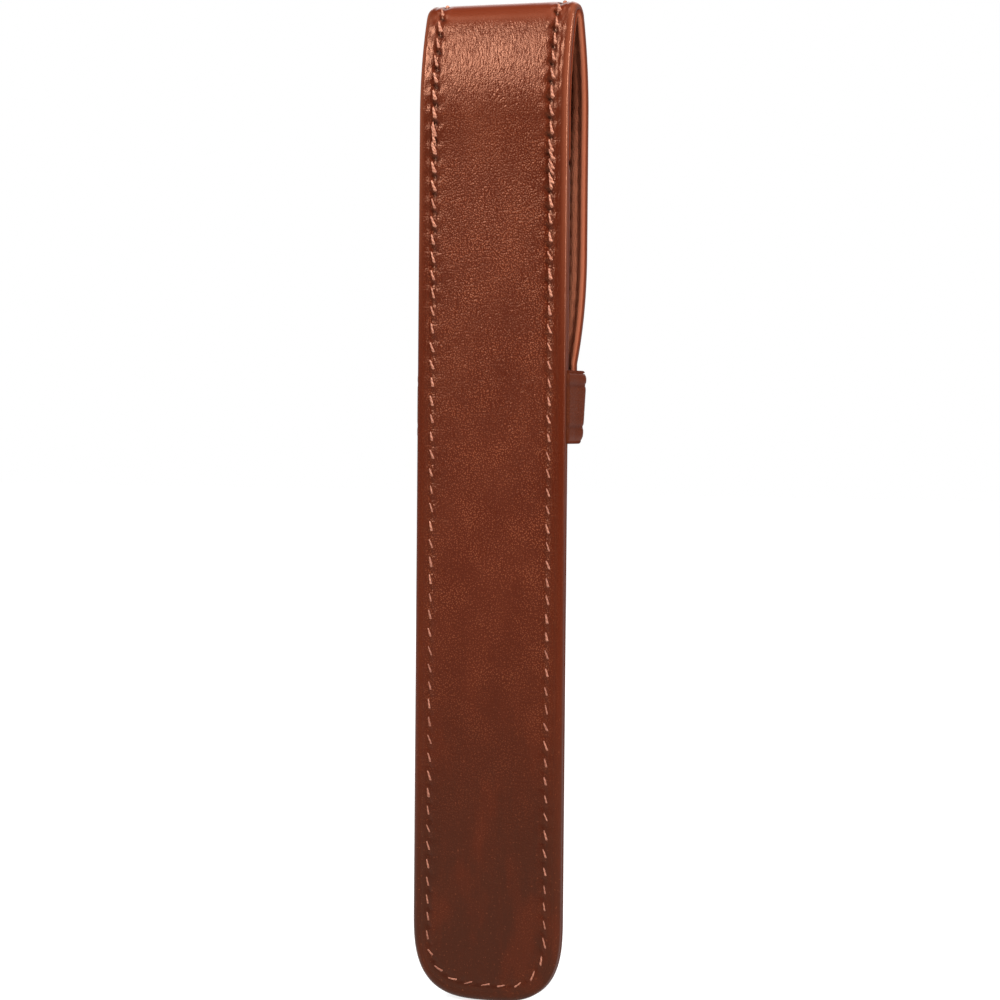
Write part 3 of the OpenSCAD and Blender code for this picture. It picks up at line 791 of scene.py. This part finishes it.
back_leather = leather_piece("back_and_crown_leather", back_sheet, on_back, lambda h: h, outer_t)
dress(back_leather, outer_leather, "outer_leather", "back_panel")
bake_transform(back_leather)

fall_leather = leather_piece("flap_and_tongue_leather", fall_sheet, on_fall, lambda h: tip_v - h, outer_t)
dress(fall_leather, outer_leather, "outer_leather", "flap_panel", "tongue_panel")
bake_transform(fall_leather)

# Lining of the strap: shown on its inner side
lining_low_v = mouth_z + butt_gap
crown_lining_sheet = Sheet(strip_outline(cut_v - lining_low_v, 1.2, 10, step), 1.2, cut_v - lining_low_v)


def inside_crown(x, h, depth):
    return strap_point(x, lining_low_v + h, strap_t - depth)


def inside_fall(x, h, depth):
    return strap_point(x, tip_v - h, strap_t - depth)


lining_edge = (1.0, 0.6, 0.12)
crown_lining = leather_piece(
    "crown_lining", crown_lining_sheet, inside_crown, lambda h: lining_low_v + h, lining_t, lining_edge, 0.6
)
dress(crown_lining, lining_leather, "lining_leather", "strap_lining")
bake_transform(crown_lining)

fall_lining = leather_piece(
    "flap_and_tongue_lining", fall_sheet, inside_fall, lambda h: tip_v - h, lining_t, lining_edge, 0.6
)
dress(fall_lining, lining_leather, "lining_leather", "flap_lining", "tongue_lining")
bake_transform(fall_lining)

# Pocket front and keeper
pocket_sheet = Sheet(pocket_outline(step), body_end_h, mouth_z - mouth_scoop - 10)
pocket_front = leather_piece(
    "pocket_front_leather", pocket_sheet, front_point, lambda h: h, front_t, (1.2, 0.7, 0.2)
)
dress(pocket_front, front_leather, "front_leather", "front_panel")
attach(pocket_front, "sleeve")

keeper = dress(keeper_piece("keeper_leather_band"), keeper_leather, "keeper_leather", "keeper_band")
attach(keeper, "sleeve")


# Thread: a little thicker and prouder towards the crown
def back_thread_look(h):
    rise = smooth((h - 105) / 45)
    return 0.17 + 0.055 * rise, 0.14 + 0.03 * rise


def flap_thread_look(h):
    return np.full_like(h, 0.28), np.full_like(h, 0.14)


# Extra stitches that lock the seam on each side, by their place along the leather
tack_runs = [cut_v - v for v in (155.6, 154.0, 152.4)]
tack_runs += [back_sheet.run[-1] - (cut_v - v) for v in (150.4, 148.0, 146.2)]
back_thread = thread_piece("back_and_crown_thread", back_sheet, on_back, back_thread_look, tack_runs)
dress(back_thread, thread, "thread", "back_stitching")
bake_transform(back_thread)

fall_thread = thread_piece("flap_and_tongue_thread", fall_sheet, on_fall, flap_thread_look)
dress(fall_thread, thread, "thread", "flap_stitching", "tongue_stitching")
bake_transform(fall_thread)

front_seam = strip_outline(mouth_z - 1.5, body_end_h, body_end_power, step)
front_seam_sheet = Sheet(front_seam, body_end_h, mouth_z)
front_thread = thread_piece("pocket_front_thread", front_seam_sheet, front_point, flap_thread_look)
dress(front_thread, thread, "thread", "front_stitching")
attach(front_thread, "sleeve")


# Stage
def flat_stage(name, corners, material):
    mesh = bpy.data.meshes.new(name)
    mesh.from_pydata(corners, [], [(0, 1, 2, 3)])
    mesh.materials.append(material)
    piece = in_scene(name, mesh)
    return piece


reach = 3.0
floor_z = -0.0003
flat_stage(
    "floor",
    [(-reach, -reach, floor_z), (reach, -reach, floor_z), (reach, reach, floor_z), (-reach, reach, floor_z)],
    white_stage("pale_floor", 0.18),
)

world = bpy.data.worlds.new("studio")
world.use_nodes = True
bpy.context.scene.world = world
w = Tree(world.node_tree)
rays = w.node("ShaderNodeLightPath")
ray_direction = w.node("ShaderNodeTexCoord").outputs["Generated"]
behind = (0.344, -0.939, 0.0)
toward_backdrop = w.node("ShaderNodeVectorMath", {0: ray_direction, 1: behind}, operation="DOT_PRODUCT")
backdrop = w.ramp(toward_backdrop.outputs["Value"], 0.8, 0.98)
mirrored = w.math("MAXIMUM", rays.outputs["Is Glossy Ray"], rays.outputs["Is Transmission Ray"])
mirrored = w.times(mirrored, backdrop)
seen = w.math("MAXIMUM", rays.outputs["Is Camera Ray"], mirrored)
soft_light = 0.17
strength = w.math("ADD", w.times(seen, 1 - soft_light), soft_light)
w.feed(world.node_tree.nodes["Background"].inputs["Color"], (1, 1, 1, 1))
w.feed(world.node_tree.nodes["Background"].inputs["Strength"], strength)

bpy.context.scene.view_settings.view_transform = "Standard"

# Camera fitted to the photograph: yaw and pitch of its direction, its roll, its distance and where it aims
camera_yaw = 200.146
camera_pitch = 1.775
camera_roll = 0.499
camera_distance = 516.36
focal_pixels = 2873.9
aim_right, aim_z = -0.184, 89.326

yaw, pitch, roll = (math.radians(a) for a in (camera_yaw, camera_pitch, camera_roll))
toward_camera = Vector((math.sin(yaw) * math.cos(pitch), -math.cos(yaw) * math.cos(pitch), math.sin(pitch)))
right = (-toward_camera).cross(Vector((0, 0, 1))).normalized()
up = right.cross(-toward_camera)
right_rolled = math.cos(roll) * right + math.sin(roll) * up
up_rolled = math.cos(roll) * up - math.sin(roll) * right
aim = Vector((0, 0, aim_z)) + right * aim_right
camera = bpy.data.objects.new("camera", bpy.data.cameras.new("camera"))
bpy.context.scene.collection.objects.link(camera)
sensor_w = 36
photo_pixels = 1000
camera.data.sensor_width = sensor_w
camera.data.lens = sensor_w * focal_pixels / photo_pixels
camera.data.clip_start, camera.data.clip_end = 0.05, 20
turned = Matrix((right_rolled, up_rolled, toward_camera)).transposed().to_4x4()
camera.matrix_world = Matrix.Translation((aim + toward_camera * camera_distance) * MM) @ turned
bpy.context.scene.camera = camera


def soft_box(name, direction, distance, size, watts, aim_at=(0, 0, 0.1)):
    """A rectangular lamp at a distance along a direction from the point it is aimed at."""
    lamp = bpy.data.objects.new(name, bpy.data.lights.new(name, "AREA"))
    lamp.data.shape = "RECTANGLE"
    lamp.data.size, lamp.data.size_y = size
    lamp.data.energy = watts
    away = Vector(direction).normalized()
    lamp.location = Vector(aim_at) + away * distance
    lamp.rotation_mode = "QUATERNION"
    lamp.rotation_quaternion = away.to_track_quat("Z", "Y")
    bpy.context.scene.collection.objects.link(lamp)
    return lamp


soft_box("key_upper_left", (0.56, 0.88, 0.55), 0.6, (0.16, 0.2), 3.8, (0, 0, 0.16))
soft_box("corner_light", (-0.96, 0.16, 0.26), 0.42, (0.04, 0.26), 2.3, (0, 0, 0.165))
soft_box("crown_light", (0.0, 0.45, 0.9), 0.6, (0.3, 0.3), 1.2, (0, 0, 0.17))
soft_box("front_fill", (0.2, -0.9, 0.6), 0.9, (0.8, 0.8), 3.4)
